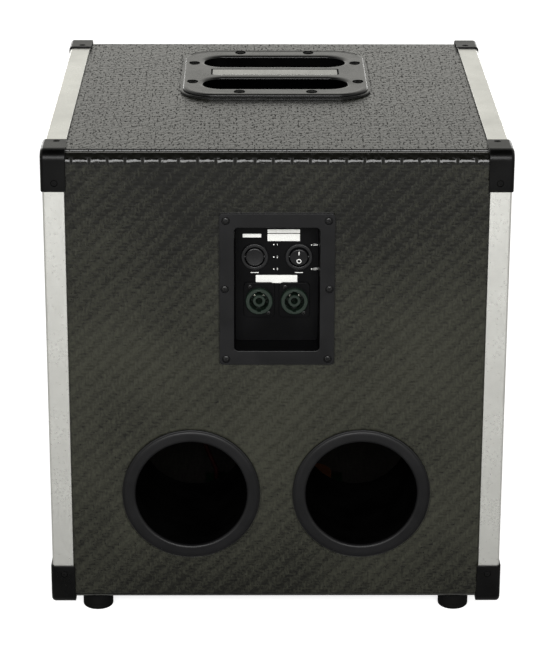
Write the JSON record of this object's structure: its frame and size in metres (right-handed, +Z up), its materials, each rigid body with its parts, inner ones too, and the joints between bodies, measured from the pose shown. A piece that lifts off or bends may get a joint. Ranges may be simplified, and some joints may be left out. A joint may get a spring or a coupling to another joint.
{
  "type": "bass speaker cabinet",
  "caption": "Compact bass speaker cabinet with aluminium edge trims, black corners, recessed bar handle, rear reflex ports, a socket dish with round rocker switches, and a front grille.",
  "frame": {"origin": "on the floor under the middle of the cabinet, at the feet's lower faces", "axes": "+Z up, +Y towards the rear with its sockets and ports, -Y towards the front grille, +X to the right as seen from the front"},
  "size_m": [0.393, 0.406, 0.4278],
  "materials": {
    "covering": "semi-gloss dark olive-grey carbon-look covering with a fine basket pattern",
    "covered_board": "plywood under the same carbon-look covering",
    "plywood": "birch plywood stained black",
    "aluminium": "satin anodised",
    "corner_black": "satin black",
    "handle_black": "half-gloss black",
    "moulded_black": "fine-grained moulded black",
    "socket_green": "moulded dark grey-green",
    "rocker_black": "half-gloss black",
    "rubber": "matt black",
    "grille_steel": "satin black powder coat",
    "basket_steel": "satin black paint",
    "cone_paper": "matt fibrous black paper",
    "spider_cloth": "resin-soaked cloth",
    "ferrite": "matt sintered ferrite",
    "plated_steel": "zinc plated",
    "circuit_board": "green solder mask",
    "copper": "enamelled copper wire",
    "film_yellow": "yellow film",
    "lead_red": "soft insulation"
  },
  "bodies": {
    "cabinet": {"carbon_wrap": "covering", "side_panel_left": "covered_board", "side_panel_right": "covered_board", "top_panel": "plywood", "bottom_panel": "plywood", "rear_panel": "plywood", "baffle_panel": "plywood", "cross_brace": "plywood", "grille_batten_left": "plywood", "grille_batten_right": "plywood", "trim_rear_left": "aluminium", "trim_rear_right": "aluminium", "trim_front_left": "aluminium", "trim_front_right": "aluminium", "trim_top_left": "aluminium", "trim_top_right": "aluminium", "trim_bottom_left": "aluminium", "trim_bottom_right": "aluminium", "corner_front_left_bottom": "corner_black", "corner_front_left_top": "corner_black", "corner_front_right_bottom": "corner_black", "corner_front_right_top": "corner_black", "corner_rear_left_bottom": "corner_black", "corner_rear_left_top": "corner_black", "corner_rear_right_bottom": "corner_black", "corner_rear_right_top": "corner_black", "foot_front_left": "rubber", "foot_front_right": "rubber", "foot_rear_left": "rubber", "foot_rear_right": "rubber", "handle_plate": "handle_black", "handle_tray": "handle_black", "port_tube_left": "moulded_black", "port_tube_right": "moulded_black", "jack_dish": "moulded_black", "speaker_socket_left": "socket_green", "speaker_socket_right": "socket_green", "power_switch_body": "moulded_black", "level_switch_body": "moulded_black", "front_grille": "grille_steel", "woofer_basket": "basket_steel", "woofer_gasket": "cone_paper", "woofer_surround": "rubber", "woofer_spider": "spider_cloth", "woofer_front_plate": "plated_steel", "woofer_magnet": "ferrite", "woofer_pole_piece": "plated_steel", "tweeter_horn": "moulded_black", "tweeter_driver": "ferrite", "crossover_board": "circuit_board", "crossover_coil": "copper", "crossover_capacitor": "film_yellow", "input_lead": "lead_red", "woofer_lead": "lead_red", "tweeter_lead": "lead_red"},
    "power_rocker": {"power_switch_rocker": "rocker_black"},
    "level_rocker": {"level_switch_rocker": "rocker_black"},
    "woofer_moving": {"woofer_cone": "cone_paper", "woofer_dust_cap": "cone_paper", "woofer_voice_coil": "copper"}
  },
  "joints": [
    {"name": "power_rocker_tilt", "type": "hinge", "parent": "cabinet", "child": "power_rocker", "pos_m": [-0.01875, 0.1786, 0.3263], "axis": [1, 0, 0], "range_deg": [0, 16]},
    {"name": "level_rocker_tilt", "type": "hinge", "parent": "cabinet", "child": "level_rocker", "pos_m": [0.01875, 0.1786, 0.3263], "axis": [1, 0, 0], "range_deg": [-10, 10]},
    {"name": "cone_travel", "type": "slide", "parent": "cabinet", "child": "woofer_moving", "axis": [0, 1, 0], "range_m": [-0.006, 0.006], "stiffness_N_per_m": 3000, "deforming": ["woofer_surround", "woofer_spider"]}
  ]
}
